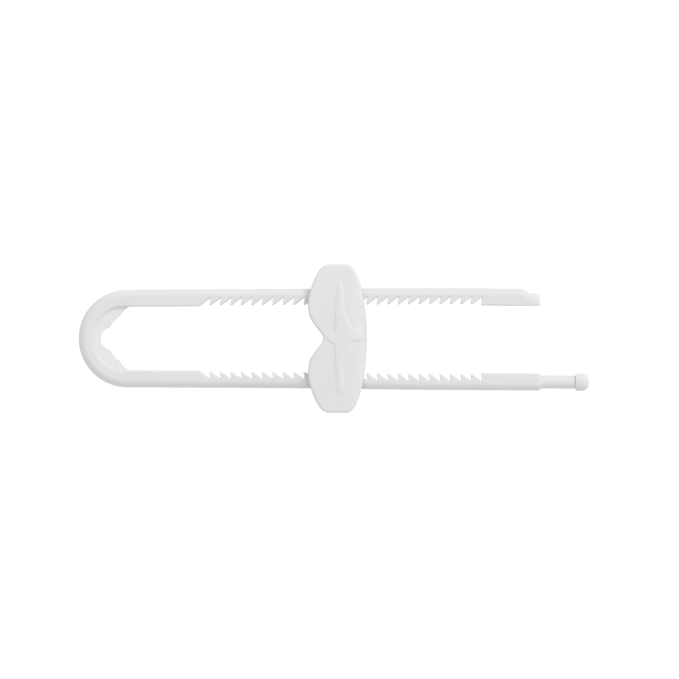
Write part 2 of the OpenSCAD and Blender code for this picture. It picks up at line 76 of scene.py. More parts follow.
bpy.ops.object.select_all(action="DESELECT")
distance = PICTURE_WIDTH * LENS / SENSOR
bpy.ops.object.camera_add(location=(*PICTURE_CENTRE, PICTURE_LEVEL + distance))
camera = bpy.context.object
camera.data.lens = LENS
camera.data.sensor_width = SENSOR
camera.data.clip_start = 0.05
camera.data.clip_end = 20
bpy.context.scene.camera = camera
bpy.context.scene.view_settings.view_transform = "Standard"

KEY_TOWARDS = Vector((-0.49, -0.59, -0.64))
KEY_STRENGTH = 1.115
KEY_SPREAD = 35
KEY_PLACE = (0.3, 0.4, 0.5)
SKY_LEVEL = 0.778

bpy.ops.object.light_add(type="SUN", location=KEY_PLACE)
key = bpy.context.object
key.data.energy = KEY_STRENGTH
key.data.angle = math.radians(KEY_SPREAD)
key.rotation_euler = KEY_TOWARDS.to_track_quat("-Z", "Y").to_euler()

world = bpy.data.worlds.new("pale_room")
bpy.context.scene.world = world
world.use_nodes = True
world.node_tree.nodes.clear()


def join_up(tree, *links):
    """Links sockets, each pair written as (node, output, node, input)."""
    for a, out, b, into in links:
        tree.links.new(a.outputs[out], b.inputs[into])


def seen_rays(tree):
    """1 for rays that the camera, a reflection or a clear material sends, 0 for light."""
    path = tree.nodes.new("ShaderNodeLightPath")
    first = tree.nodes.new("ShaderNodeMath")
    first.operation = "MAXIMUM"
    both = tree.nodes.new("ShaderNodeMath")
    both.operation = "MAXIMUM"
    join_up(
        tree,
        (path, "Is Camera Ray", first, 0),
        (path, "Is Glossy Ray", first, 1),
        (first, 0, both, 0),
        (path, "Is Transmission Ray", both, 1),
    )
    return both


sky_seen = world.node_tree.nodes.new("ShaderNodeBackground")
sky_seen.inputs["Strength"].default_value = 1
sky_seen.inputs["Color"].default_value = (1, 1, 1, 1)
sky_light = world.node_tree.nodes.new("ShaderNodeBackground")
sky_light.inputs["Strength"].default_value = SKY_LEVEL
sky_light.inputs["Color"].default_value = (1, 1, 1, 1)
sky_mix = world.node_tree.nodes.new("ShaderNodeMixShader")
sky_out = world.node_tree.nodes.new("ShaderNodeOutputWorld")
join_up(
    world.node_tree,
    (seen_rays(world.node_tree), 0, sky_mix, 0),
    (sky_light, 0, sky_mix, 1),
    (sky_seen, 0, sky_mix, 2),
    (sky_mix, 0, sky_out, 0),
)

# Floor
# A sheet of board under the part, seen as plain white with a trace of the part's shadow. The
# light that it sends back up is weaker, as from a table further off.
FLOOR_SIZE = 6
FLOOR_DROP = 0.0001
FLOOR_GREY = 0.88
FLOOR_PLAIN_SHARE = 0.95
FLOOR_PLAIN_LIGHT = 1.05

bpy.ops.mesh.primitive_plane_add(size=FLOOR_SIZE, location=(0, 0, -FLOOR_DROP))
floor = bpy.context.object
floor.name = "white_board"
floor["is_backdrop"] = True
board = bpy.data.materials.new("white_board")
board.use_nodes = True
tree = board.node_tree
tree.nodes.clear()
board_lit = tree.nodes.new("ShaderNodeBsdfDiffuse")
board_lit.inputs["Color"].default_value = (*(FLOOR_GREY,) * 3, 1)
board_plain = tree.nodes.new("ShaderNodeEmission")
board_plain.inputs["Strength"].default_value = FLOOR_PLAIN_LIGHT
board_share = tree.nodes.new("ShaderNodeMath")
board_share.operation = "MULTIPLY"
board_share.inputs[1].default_value = FLOOR_PLAIN_SHARE
board_mix = tree.nodes.new("ShaderNodeMixShader")
board_out = tree.nodes.new("ShaderNodeOutputMaterial")
join_up(
    tree,
    (seen_rays(tree), 0, board_share, 0),
    (board_share, 0, board_mix, 0),
    (board_lit, 0, board_mix, 1),
    (board_plain, 0, board_mix, 2),
    (board_mix, 0, board_out, 0),
)
floor.data.materials.append(board)


# Materials
# White polypropylene with a fine moulded grain for the bar and, smoother, for the slider and
# the buttons, and drawn spring wire.


def group(name, inputs, outputs):
    """An empty node group with float inputs given as (name, value) and named outputs."""
    made = bpy.data.node_groups.new(name, "ShaderNodeTree")
    for label, value in inputs:
        socket = made.interface.new_socket(label, in_out="INPUT", socket_type="NodeSocketFloat")
        socket.default_value = value
    for label, kind in outputs:
        made.interface.new_socket(label, in_out="OUTPUT", socket_type="NodeSocket" + kind)
    return made, made.nodes.new("NodeGroupInput"), made.nodes.new("NodeGroupOutput")


grain, grain_in, grain_out = group(
    "moulded_grain", [("Scale", 2600), ("Depth", 0.000008)], [("Normal", "Vector")]
)
grain_place = grain.nodes.new("ShaderNodeTexCoord")
grain_noise = grain.nodes.new("ShaderNodeTexNoise")
grain_noise.inputs["Detail"].default_value = 3
grain_noise.inputs["Roughness"].default_value = 0.6
grain_bump = grain.nodes.new("ShaderNodeBump")
grain_bump.inputs["Strength"].default_value = 0.35
join_up(
    grain,
    (grain_place, "Object", grain_noise, "Vector"),
    (grain_in, "Scale", grain_noise, "Scale"),
    (grain_in, "Depth", grain_bump, "Distance"),
    (grain_noise, "Fac", grain_bump, "Height"),
    (grain_bump, "Normal", grain_out, "Normal"),
)

cloud, cloud_in, cloud_out = group(
    "soft_clouds", [("Scale", 60), ("Low", 0.45), ("High", 0.55)], [("Value", "Float")]
)
cloud_place = cloud.nodes.new("ShaderNodeTexCoord")
cloud_noise = cloud.nodes.new("ShaderNodeTexNoise")
cloud_noise.inputs["Detail"].default_value = 4
cloud_range = cloud.nodes.new("ShaderNodeMapRange")
cloud_range.inputs["From Min"].default_value = 0.3
cloud_range.inputs["From Max"].default_value = 0.7
join_up(
    cloud,
    (cloud_place, "Object", cloud_noise, "Vector"),
    (cloud_in, "Scale", cloud_noise, "Scale"),
    (cloud_noise, "Fac", cloud_range, "Value"),
    (cloud_in, "Low", cloud_range, "To Min"),
    (cloud_in, "High", cloud_range, "To Max"),
    (cloud_range, "Result", cloud_out, "Value"),
)


def use_group(tree, made, **values):
    node = tree.nodes.new("ShaderNodeGroup")
    node.node_tree = made
    for name, value in values.items():
        node.inputs[name].default_value = value
    return node


def surface(name, colour, specular=0.3):
    """A material with a plain Principled shader and no varying sockets yet."""
    made = bpy.data.materials.new(name)
    made.use_nodes = True
    made.node_tree.nodes.clear()
    shader = made.node_tree.nodes.new("ShaderNodeBsdfPrincipled")
    shader.inputs["Base Color"].default_value = (*colour, 1)
    shader.inputs["Specular IOR Level"].default_value = specular
    out = made.node_tree.nodes.new("ShaderNodeOutputMaterial")
    join_up(made.node_tree, (shader, "BSDF", out, "Surface"))
    return made, made.node_tree, shader


def two_tone(tree, share, socket, first, second):
    """Mixes two colours by another node's socket."""
    tone = tree.nodes.new("ShaderNodeMix")
    tone.data_type = "RGBA"
    tone.inputs[6].default_value = (*first, 1)
    tone.inputs[7].default_value = (*second, 1)
    join_up(tree, (share, socket, tone, 0))
    return tone


MOTTLE_DARK = 0.985
MOTTLE_LIGHT = 1.012


def white_plastic(name, colour, scale, depth, rough):
    """White plastic: grain in its normal, and a sheen and a tone that vary softly."""
    made, tree, shader = surface(name, colour)
    shader.inputs["Subsurface Weight"].default_value = 0.12
    shader.inputs["Subsurface Radius"].default_value = (1, 0.9, 0.9)
    shader.inputs["Subsurface Scale"].default_value = 0.0008
    grained = use_group(tree, grain, Scale=scale, Depth=depth)
    sheen = use_group(tree, cloud, Scale=120, Low=rough[0], High=rough[1])
    mottle = use_group(tree, cloud, Scale=45, Low=0, High=1)
    dark = [part * MOTTLE_DARK for part in colour]
    light = [part * MOTTLE_LIGHT for part in colour]
    tone = two_tone(tree, mottle, "Value", dark, light)
    join_up(
        tree,
        (grained, "Normal", shader, "Normal"),
        (sheen, "Value", shader, "Roughness"),
        (tone, 2, shader, "Base Color"),
    )
    return made


WHITE = (0.754, 0.739, 0.745)
SLIDER_WHITE = (0.763, 0.748, 0.754)
STEEL = (0.62, 0.62, 0.63)
bar_plastic = white_plastic("bar_plastic", WHITE, scale=2600, depth=0.000008, rough=(0.5, 0.6))
slider_plastic = white_plastic(
    "slider_plastic", SLIDER_WHITE, scale=1800, depth=0.000005, rough=(0.4, 0.5)
)
button_plastic = white_plastic(
    "button_plastic", WHITE, scale=2200, depth=0.000008, rough=(0.45, 0.55)
)
spring_steel, tree, shader = surface("spring_steel", STEEL, specular=0.5)
shader.inputs["Metallic"].default_value = 1
drawn = use_group(tree, cloud, Scale=900, Low=0.22, High=0.4)
join_up(tree, (drawn, "Value", shader, "Roughness"))


# U-bar
# One moulding of white polypropylene: a round bend, two toothed arms, a stepped nose on the
# upper arm, and a round pin with a stop knob on the lower one. Modelled with the bend's
# centre at the origin, each arm along +X, and moved to its place at the end.
ARM_W = 5.8
ARM_T = 6
ARM_OUTER_ROUND = 2
ARM_INNER_ROUND = 0.5
ARM_MID_Z = 6.55
BEND_R = 16.7
BEND_MID_R = BEND_R - ARM_W / 2
ARM_IN = BEND_MID_R - ARM_W / 2
ARM_TOP = ARM_MID_Z + ARM_T / 2
ARM_SPLAY = 0.3
# Teeth: each valley is steep on the side of the free ends, where it holds the slider back.
FIRST_TOOTH = 28.2
TOOTH_PITCH = 3.59
TOOTH_COUNT = 26
TOOTH_DEPTH = 2.7
TIP_SET = 0.3
TOOTH_TIP = 0.45
TOOTH_LEAD = 3.5
HOOK_TILT = 9
TOOTH_HOOK = TOOTH_DEPTH * math.tan(math.radians(HOOK_TILT))
UPPER_END_L = 20.15
LOWER_END_L = 19.55
PIN_TAPER = 1.2
PIN_L = 11.6
KNOB_L = 4.5
TEETH_END = FIRST_TOOTH + TOOTH_COUNT * TOOTH_PITCH
UPPER_TIP = TEETH_END + UPPER_END_L
LOWER_BODY = TEETH_END + LOWER_END_L
PIN_START = LOWER_BODY + PIN_TAPER
KNOB_START = PIN_START + PIN_L
LOWER_TIP = KNOB_START + KNOB_L
BEND_X = (
    -(
        LOWER_TIP * math.cos(math.radians(ARM_SPLAY))
        - BEND_MID_R * math.sin(math.radians(ARM_SPLAY))
        - BEND_R
    )
    / 2
)
# What counts as no distance, when places are compared and when a mesh is cleaned.
FINE = 1e-4
TINY = 0.002
TIDY_ROUNDS = 3
PER_METRE = 1000


def clamp01(t):
    return max(0, min(1, t))


def smooth(t):
    t = clamp01(t)
    return t * t * (3 - 2 * t)


def lerp(a, b, t):
    return a + (b - a) * t


def named(name):
    """Gives the piece just added its name."""
    piece = bpy.context.object
    piece.name = piece.data.name = name
    return piece


def alone(piece):
    """Leaves edit mode and selects one piece and nothing else."""
    if bpy.context.object and bpy.context.object.mode == "EDIT":
        bpy.ops.object.mode_set(mode="OBJECT")
    bpy.ops.object.select_all(action="DESELECT")
    bpy.context.view_layer.objects.active = piece
    piece.select_set(True)


def open_mesh(piece):
    """Opens one piece in edit mode with nothing selected."""
    alone(piece)
    bpy.ops.object.mode_set(mode="EDIT")
    bpy.ops.mesh.select_mode(type="VERT")
    bpy.ops.mesh.select_all(action="DESELECT")


def close_mesh():
    bpy.ops.object.mode_set(mode="OBJECT")


def pick(test, kind="VERT"):
    """Selects the vertices, edges or faces of the open mesh that pass a test."""
    bpy.ops.mesh.select_all(action="DESELECT")
    bpy.ops.mesh.select_mode(type=kind)
    data = bpy.context.object.data
    mesh = bmesh.from_edit_mesh(data)
    found = {"VERT": mesh.verts, "EDGE": mesh.edges, "FACE": mesh.faces}[kind]
    for item in found:
        if test(item):
            item.select_set(True)
    mesh.select_flush_mode()
    bmesh.update_edit_mesh(data)


def pick_all():
    bpy.ops.mesh.select_all(action="SELECT")


def round_edges(test, radius, segments, clamp=False):
    """Rounds the edges of the open mesh that pass a test."""
    pick(test, "EDGE")
    bpy.ops.mesh.bevel(offset=radius, segments=segments, affect="EDGES", clamp_overlap=clamp)


def turn_out():
    """Turns all faces of the open mesh outwards."""
    pick_all()
    bpy.ops.mesh.normals_make_consistent(inside=False)


def swap_sides():
    """Mirrors the open mesh from the upper arm's side to the lower one's."""
    pick_all()
    bpy.ops.transform.mirror(constraint_axis=(False, True, False), center_override=(0, 0, 0))


def joined(name, pieces):
    """Makes one object of several."""
    alone(pieces[0])
    for piece in pieces:
        piece.select_set(True)
    bpy.ops.object.join()
    return named(name)


def take_modifier(piece, kind, **settings):
    """Adds a modifier with its settings to a piece and applies it."""
    alone(piece)
    made = piece.modifiers.new(kind.lower(), kind)
    for name, value in settings.items():
        setattr(made, name, value)
    bpy.ops.object.modifier_apply(modifier=made.name)


def unite(piece, *others, operation="UNION"):
    """Makes one closed moulding of a piece and others, or cuts the others out of it."""
    for other in others:
        take_modifier(piece, "BOOLEAN", operation=operation, object=other, solver="EXACT")
        bpy.data.objects.remove(other)


def tidy_faces():
    """Takes faces and edges of no size out of the open mesh."""
    for _ in range(TIDY_ROUNDS):
        pick_all()
        bpy.ops.mesh.dissolve_degenerate(threshold=TINY)


def settle(piece, x):
    """Moves a finished piece's mesh to its place at x and brings it to metres."""
    open_mesh(piece)
    pick_all()
    bpy.ops.transform.translate(value=(x, 0, 0))
    bpy.ops.transform.resize(value=(1 / PER_METRE,) * 3, center_override=(0, 0, 0))
    close_mesh()


def dress(piece, degrees, made):
    """Smooth shading over edges flatter than an angle, and the piece's one material."""
    alone(piece)
    bpy.ops.object.shade_smooth_by_angle(angle=math.radians(degrees))
    piece.data.materials.clear()
    piece.data.materials.append(made)


# The section's long flats and its edge are cut up. Its outer corners leave the front at one
# tilt and meet the edge at another.
FLAT_LEAST = 2.5
FLAT_CUTS = 4
EDGE_CUTS = 3
ROUND_TURNS = 8
INNER_TURNS = 4
CREASE_TILT = 16
EDGE_TILT = 80
EDGE_WIDE = 2.15


def outer_round():
    """The outer corner's curve: it leaves the front at a crease and steepens towards the edge."""
    places = [(0, 0)]
    for k in range(ROUND_TURNS):
        tilt = math.radians(lerp(CREASE_TILT, EDGE_TILT, (k + 0.5) / ROUND_TURNS))
        places.append((places[-1][0] + math.cos(tilt), places[-1][1] + math.sin(tilt)))
    scale = EDGE_WIDE / places[-1][0]
    return [(across * scale, down * scale) for across, down in places]


# The mould's parting line: its share of the edge's width, and its height.
PARTING_W = 0.3
PARTING_H = 0.05


def bar_ring(name, x):
    """Outline of the bar's section at x: rounded corners and a low parting line outside."""
    bpy.ops.object.select_all(action="DESELECT")
    bpy.ops.mesh.primitive_plane_add(
        size=1, location=(x, BEND_MID_R, ARM_MID_Z), rotation=(0, math.pi / 2, 0)
    )
    piece = named(name)
    piece.scale = (ARM_T, ARM_W, 1)
    bpy.ops.object.transform_apply(location=True, rotation=True, scale=True)
    open_mesh(piece)
    for side, radius, turns in (
        (BEND_R, ARM_OUTER_ROUND, ROUND_TURNS),
        (ARM_IN, ARM_INNER_ROUND, INNER_TURNS),
    ):
        pick(lambda v: abs(v.co.y - side) < FINE)
        bpy.ops.mesh.bevel(offset=radius, segments=turns, affect="VERTICES", clamp_overlap=False)
    pick_all()
    bpy.ops.mesh.delete(type="ONLY_FACE")
    pick(lambda v: v.co.y > BEND_R - ARM_OUTER_ROUND - FINE)
    mesh = bmesh.from_edit_mesh(piece.data)
    curve = outer_round()
    for v in mesh.verts:
        if v.select:
            side = math.copysign(1, v.co.z - ARM_MID_Z)
            across = v.co.y - (BEND_R - ARM_OUTER_ROUND)
            up = abs(v.co.z - ARM_MID_Z) - (ARM_T / 2 - ARM_OUTER_ROUND)
            k = round(math.atan2(across, up) / (math.pi / 2) * ROUND_TURNS)
            v.co.y = BEND_R - EDGE_WIDE + curve[k][0]
            v.co.z = ARM_MID_Z + side * (ARM_T / 2 - curve[k][1])
    bmesh.update_edit_mesh(piece.data)
    pick(lambda e: (e.verts[0].co - e.verts[1].co).length > FLAT_LEAST, "EDGE")
    bpy.ops.mesh.subdivide(number_cuts=FLAT_CUTS)
    pick(lambda e: all(abs(v.co.y - BEND_R) < FINE for v in e.verts), "EDGE")
    bpy.ops.mesh.subdivide(number_cuts=EDGE_CUTS)
    middle = (x, BEND_R, ARM_MID_Z)
    near = ARM_T / 2 - curve[-1][1] - FINE
    pick(lambda v: abs(v.co.y - BEND_R) < FINE and abs(v.co.z - ARM_MID_Z) < near)
    bpy.ops.transform.resize(value=(1, 1, PARTING_W), center_override=middle)
    pick(lambda v: (v.co - Vector(middle)).length < FINE)
    bpy.ops.transform.translate(value=(0, PARTING_H, 0))
    pick_all()
    return piece


def extend():
    """Extrudes the selected ring by one along the bar. Its real place is given after."""
    bpy.ops.mesh.extrude_region_move(TRANSFORM_OT_translate={"value": (1, 0, 0)})


def soften(share):
    """Marks the selected ring to be rounded, by a share of the widest rounding."""
    bpy.ops.transform.edge_bevelweight(value=-1)
    if share:
        bpy.ops.transform.edge_bevelweight(value=share)


# The tooth is modelled once, as five rings one apart: the tip's middle, the tip's end, the
# bottom of the valley, the steep face's top and the next tip's middle. Each ring then goes to
# its place: its inner side, how far its outer side leans on, and its depth.
FLAT_OUT = BEND_R - EDGE_WIDE
FLAT_IN = ARM_IN + ARM_INNER_ROUND
CORNER_ROUND = 0.35
CORNER_TURNS = 3
BAR_SMOOTH = 32
TOOTH_SOFT = 0.36
VALLEY_SOFT = 0.7 * TOOTH_SOFT
TIP_LEAN = 1.3
FACE_LEAN = 1.2


def inwardness(y):
    return clamp01((FLAT_OUT - y) / (FLAT_OUT - FLAT_IN))


def place_rings(piece, rings):
    """Moves straight rings, which lie one apart from x = 0, to their real places."""
    close_mesh()
    for v in piece.data.vertices:
        x, lean, depth = rings[round(v.co.x)]
        inward = inwardness(v.co.y)
        v.co.x = x + lean * (1 - inward)
        v.co.y += depth * inward
    open_mesh(piece)


def tooth_rings(face, lead, before, after):
    """Rings of a valley: where its steep face is, how long it is, how low its two tips are."""
    middle = TOOTH_TIP / 2
    return [
        (face - lead - middle, TIP_LEAN, before),
        (face - lead, TIP_LEAN, before),
        (face + TOOTH_HOOK, 0, TIP_SET + TOOTH_DEPTH),
        (face, FACE_LEAN, after),
        (face + middle, TIP_LEAN, after),
    ]


def one_tooth(name, face, lead, before, after):
    piece = bar_ring(name, 0)
    for share in (TOOTH_SOFT, VALLEY_SOFT, TOOTH_SOFT, 0):
        extend()
        soften(share)
    place_rings(piece, tooth_rings(face, lead, before, after))
    close_mesh()
    return piece


run = TOOTH_PITCH - TOOTH_TIP
teeth = one_tooth("u_bar_moulding", FIRST_TOOTH + TOOTH_PITCH, run, TIP_SET, TIP_SET)
take_modifier(
    teeth,
    "ARRAY",
    count=TOOTH_COUNT - 1,
    use_relative_offset=False,
    use_constant_offset=True,
    constant_offset_displace=(TOOTH_PITCH, 0, 0),
    use_merge_vertices=True,
    merge_threshold=FINE,
)
lead_in = one_tooth("lead_in", FIRST_TOOTH, TOOTH_LEAD, 0, TIP_SET)
lead_out = one_tooth("lead_out", TEETH_END, run, TIP_SET, 0)
teeth = joined("u_bar_moulding", [teeth, lead_in, lead_out])
open_mesh(teeth)
pick_all()
bpy.ops.mesh.remove_doubles(threshold=FINE)


def end_ring(towards):
    """Selects the open ring at the arm's end that lies towards -X or +X."""
    mesh = bmesh.from_edit_mesh(bpy.context.object.data)
    places = [v.co.x for v in mesh.verts]
    middle = (min(places) + max(places)) / 2
    pick(lambda e: e.is_boundary and (e.verts[0].co.x - middle) * towards > 0, "EDGE")


def ring_to(x, radius=None):
    """Extrudes the selected ring to x, as it is or as a circle."""
    extend()
    soften(0)
    data = bpy.context.object.data
    mesh = bmesh.from_edit_mesh(data)
    for v in mesh.verts:
        if not v.select:
            continue
        v.co.x = x
        if radius is not None:
            way = Vector((0, v.co.y - BEND_MID_R, v.co.z - ARM_MID_Z)).normalized()
            v.co.y = BEND_MID_R + radius * way.y
            v.co.z = ARM_MID_Z + radius * way.z
    bmesh.update_edit_mesh(data)


def cap():
    """Closes the selected ring with one face."""
    bpy.ops.mesh.edge_face_add()


PLAIN_L = 4

end_ring(-1)
ring_to(FIRST_TOOTH - TOOTH_LEAD - PLAIN_L)
ring_to(0)
close_mesh()

# Upper arm: a plain stretch, then the nose, whose outer side slopes in, steps down and turns
# over a round corner to the tip.
NOSE_L = 6.7
NOSE_DROP = 1.7
NOSE_STEP = 0.35
NOSE_STEP_RUN = 0.1
NOSE_ROUND = 1.9
NOSE_START_SOFT = 0.6
NOSE_STEP_SOFT = 0.5
NOSE_TURNS = 6

lower = teeth.copy()
lower.data = teeth.data.copy()
bpy.context.collection.objects.link(lower)
upper = teeth
open_mesh(upper)
end_ring(1)
step_x = UPPER_TIP - NOSE_L * 2 / 3
corner_x = UPPER_TIP - NOSE_ROUND
nose = [
    (TEETH_END + PLAIN_L, 0, 0),
    (UPPER_TIP - NOSE_L, 0, NOSE_START_SOFT),
    (step_x, NOSE_DROP / 2, NOSE_STEP_SOFT),
    (step_x + NOSE_STEP_RUN, NOSE_DROP / 2 + NOSE_STEP, NOSE_STEP_SOFT),
]
for k in range(NOSE_TURNS + 1):
    turn = math.radians(90 * k / NOSE_TURNS)
    fall = NOSE_ROUND * (1 - math.cos(turn))
    nose.append((corner_x + NOSE_ROUND * math.sin(turn), NOSE_DROP + fall, k // NOSE_TURNS))
was = 0
for x, drop, share in nose:
    extend()
    mesh = bmesh.from_edit_mesh(upper.data)
    for v in mesh.verts:
        if v.select:
            plain_y = v.co.y
            # The ring before this one already came in by its own drop.
            span = FLAT_OUT - was - FLAT_IN
            outward = clamp01((plain_y - FLAT_IN) / span)
            v.co.x = x
            v.co.y = plain_y - (drop - was) * outward
    bmesh.update_edit_mesh(upper.data)
    soften(share)
    was = drop
cap()
bpy.ops.mesh.select_all(action="DESELECT")

# Lower arm: a plain stretch, a short taper to the round pin, and the knob with its dome.
PIN_R = 2.25
KNOB_R = 3
KNOB_DOME = 1.9
DOME_BEFORE = 0.54 * KNOB_DOME
DOME_STEPS = 7
PIN_END_SOFT = 0.5
KNOB_SOFT = 0.6
DOME_SOFT = 0.8

open_mesh(lower)
end_ring(1)
ring_to(TEETH_END + PLAIN_L)
dome_x = LOWER_TIP - KNOB_DOME
for x, radius, share in (
    (LOWER_BODY, None, KNOB_SOFT),
    (PIN_START, PIN_R, 1),
    (KNOB_START, PIN_R, PIN_END_SOFT),
    (KNOB_START, KNOB_R, KNOB_SOFT),
    (dome_x, KNOB_R, KNOB_SOFT),
):
    ring_to(x, radius)
    soften(share)
ball_r = math.hypot(KNOB_R, DOME_BEFORE)
for k in range(1, DOME_STEPS + 1):
    x = dome_x + KNOB_DOME * math.sin(math.radians(90 * k / DOME_STEPS))
    ring_to(x, radius=math.sqrt(ball_r**2 - (x - dome_x + DOME_BEFORE) ** 2))
soften(DOME_SOFT)
cap()
swap_sides()
close_mesh()

# Both arms spread a little, and the bend is spun between them.
BEND_STEPS = 60
for arm, side in ((upper, 1), (lower, -1)):
    alone(arm)
    arm.rotation_euler = (0, 0, side * math.radians(ARM_SPLAY))
    bpy.ops.object.transform_apply(location=False, rotation=True, scale=False)
bar = upper
open_mesh(bar)
end_ring(-1)
bpy.ops.mesh.spin(
    steps=BEND_STEPS,
    angle=-math.radians(180 - 2 * ARM_SPLAY),
    center=(0, 0, 0),
    axis=(0, 0, 1),
)
close_mesh()
bar = joined("u_bar_moulding", [bar, lower])
open_mesh(bar)
pick_all()
bpy.ops.mesh.remove_doubles(threshold=TINY)
turn_out()
close_mesh()

# Round the bend the inner edges are rounded more widely than along the arms.
BEND_INNER_ROUND = 1.4
FADE = 4


def widened(near, high, radius):
    """Places a point of the section by its distances from the inner and the flat side."""
    old = ARM_INNER_ROUND
    grow = radius / old
    if near < old + FINE and high < old + FINE:
        return near * grow, high * grow
    across = ARM_W - ARM_OUTER_ROUND
    if high < FINE and near < across:
        return radius + (near - old) * (across - radius) / (across - old), high
    if near < FINE:
        return near, radius + (high - old) * (ARM_T / 2 - radius) / (ARM_T / 2 - old)
    return near, high


for v in bar.data.vertices:
    share = clamp01(-v.co.x / FADE)
    if share > 0:
        reach = math.hypot(v.co.x, v.co.y)
        side = math.copysign(1, v.co.z - ARM_MID_Z)
        near = reach - ARM_IN
        high = ARM_T / 2 - abs(v.co.z - ARM_MID_Z)
        radius = ARM_INNER_ROUND + share * (BEND_INNER_ROUND - ARM_INNER_ROUND)
        near, high = widened(max(0, near), max(0, high), radius)
        v.co.x *= (ARM_IN + near) / reach
        v.co.y *= (ARM_IN + near) / reach
        v.co.z = ARM_MID_Z + side * (ARM_T / 2 - high)
take_modifier(
    bar,
    "BEVEL",
    limit_method="WEIGHT",
    width=CORNER_ROUND,
    segments=CORNER_TURNS,
    use_clamp_overlap=True,
)

# The free ends have sprung a little to one side, as mouldings do: from where, up to where and
# how far.
UPPER_SPRUNG = (112, 134, 0.4)
LOWER_SPRUNG = (50, 112, 0.36)

for v in bar.data.vertices:
    start, end, shift = UPPER_SPRUNG if v.co.y > 0 else LOWER_SPRUNG
    v.co.y -= shift * smooth((v.co.x - start) / (end - start))

# The nose's front falls away beyond a slanting line: one cut across its corner.
FACET_TILT = 11
FACET_TURN = 45

facet_from = Vector((UPPER_TIP - NOSE_L, BEND_R, ARM_TOP))
facet_from.rotate(Euler((0, 0, math.radians(ARM_SPLAY))))
facet_out = Vector((math.sin(math.radians(FACET_TILT)), 0, math.cos(math.radians(FACET_TILT))))
facet_out.rotate(Euler((0, 0, math.radians(FACET_TURN))))
open_mesh(bar)


def at_nose(face):
    middle = face.calc_center_median()
    return middle.x > UPPER_TIP - 2 * NOSE_L and middle.y > 0


pick(at_nose, "FACE")
bpy.ops.mesh.bisect(
    plane_co=facet_from, plane_no=facet_out, use_fill=True, clear_outer=True, threshold=FINE
)
close_mesh()

# Web in the bend: a plate with a wavy contour, its front falling gently towards the arms.
WEB_BACK = 4.75
WEB_FALL_FROM = -13.3
WEB_STEEP = math.tan(math.radians(9))
WEB_GENTLE = math.tan(math.radians(5.5))
WEB_EASE = 2.5
WEB_CUTS = (0.6, 1.2, 2.1, 3.4, 5.2, 7.8)
WEB_EDGE_ROUND = 1.2
WEB_EDGE_TURNS = 4
WEB_SHARP = 0.8
STEM_SCALLOP = 3.2
STEM_STEPS = 24
SIDE_SCALLOP = 0.4
SIDE_STEPS = 10
CUSP_SHARES = [(-0.56, 0.345), (-0.24, 0.71), (0.06, 1)]
CUSPS = [(across * ARM_IN, along * ARM_IN) for across, along in CUSP_SHARES]


def scallop(a, b, depth, steps):
    """Points from a to b on an arc that goes into the web by a depth, without b."""
    a, b = Vector(a), Vector(b)
    chord = (b - a).length
    radius = (chord**2 / 4 + depth**2) / (2 * depth)
    out = Vector((a.y - b.y, b.x - a.x)) / chord
    centre = (a + b) / 2 - out * (radius - depth)
    half = math.asin(chord / 2 / radius)
    if depth > radius:
        half = math.pi - half
    along = (b - a) / chord
    turns = [half * (2 * k / steps - 1) for k in range(steps)]
    return [centre + radius * (math.cos(t) * out + math.sin(t) * along) for t in turns]


def prism(name, points, low, high):
    """A straight prism on an outline in the plane of X and Y."""
    bpy.ops.object.select_all(action="DESELECT")
    bpy.ops.mesh.primitive_circle_add(vertices=len(points), radius=1, fill_type="NGON")
    piece = named(name)
    for v, (x, y) in zip(piece.data.vertices, points):
        v.co = (x, y, low)
    open_mesh(piece)
    pick_all()
    bpy.ops.mesh.extrude_region_move(TRANSFORM_OT_translate={"value": (0, 0, high - low)})
    turn_out()
    close_mesh()
    return piece


WEB_STEPS = 16
stem = scallop((CUSPS[0][0], -CUSPS[0][1]), CUSPS[0], STEM_SCALLOP, STEM_STEPS)
upper_half = scallop(CUSPS[0], CUSPS[1], SIDE_SCALLOP, SIDE_STEPS)
upper_half += scallop(CUSPS[1], CUSPS[2], SIDE_SCALLOP, SIDE_STEPS) + [Vector(CUSPS[2])]
outer_from = math.atan2(BEND_MID_R, CUSPS[2][0])
for k in range(WEB_STEPS):
    turn = outer_from + (math.pi - outer_from) * k / WEB_STEPS
    upper_half.append(BEND_MID_R * Vector((math.cos(turn), math.sin(turn))))
contour = stem + upper_half + [Vector((-BEND_MID_R, 0))]
contour += [Vector((p.x, -p.y)) for p in reversed(upper_half[1:])]
web = prism("web", contour, WEB_BACK, WEB_BACK + 1)
open_mesh(web)
for cut in WEB_CUTS:
    pick_all()
    bpy.ops.mesh.bisect(plane_co=(WEB_FALL_FROM + cut, 0, 0), plane_no=(1, 0, 0), threshold=FINE)
close_mesh()
for v in web.data.vertices:
    if v.co.z > WEB_BACK + FINE:
        run_in = max(0, v.co.x - WEB_FALL_FROM)
        eased = (WEB_STEEP - WEB_GENTLE) * WEB_EASE * (1 - math.exp(-run_in / WEB_EASE))
        v.co.z = ARM_TOP - WEB_GENTLE * run_in - eased
open_mesh(web)
round_edges(
    lambda e: all(v.co.z > WEB_BACK + FINE and v.co.xy.length < BEND_MID_R - 1 for v in e.verts)
    and e.calc_face_angle() > WEB_SHARP,
    WEB_EDGE_ROUND,
    WEB_EDGE_TURNS,
    clamp=True,
)
close_mesh()
unite(bar, web)
open_mesh(bar)
tidy_faces()
close_mesh()
settle(bar, BEND_X)
dress(bar, BAR_SMOOTH, bar_plastic)

# Painted light: the thin web is painted paler than the bar round it, for light shining through.
WEB_LIT_WHITE = (0.78, 0.765, 0.771)
WEB_SOFT = 0.7

